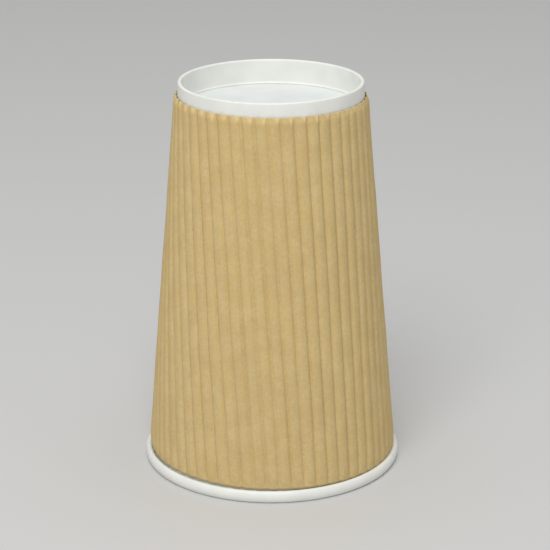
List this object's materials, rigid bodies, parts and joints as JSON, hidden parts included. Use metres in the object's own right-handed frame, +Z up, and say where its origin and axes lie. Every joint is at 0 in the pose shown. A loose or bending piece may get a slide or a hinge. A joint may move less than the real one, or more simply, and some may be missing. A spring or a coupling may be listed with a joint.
{
  "type": "paper coffee cup",
  "caption": "Tall tapered paper cup for hot drinks, shown mouth down: rolled rim, recessed base and a fluted kraft paper wrap.",
  "frame": {"origin": "centre of the circle on which the rolled rim rests, at the bottom of the cup as it stands mouth down", "axes": "+Z up along the cup's axis from the rim to the foot; -Y is the front that the picture shows"},
  "size_m": [0.09, 0.09, 0.1358],
  "materials": {
    "wall_board": "satin coated",
    "base_board": "satin coated",
    "kraft_paper": "matt uncoated"
  },
  "bodies": {
    "root": {"cup_wall": "wall_board", "cup_base": "base_board", "ripple_wrap": "kraft_paper"}
  },
  "joints": []
}
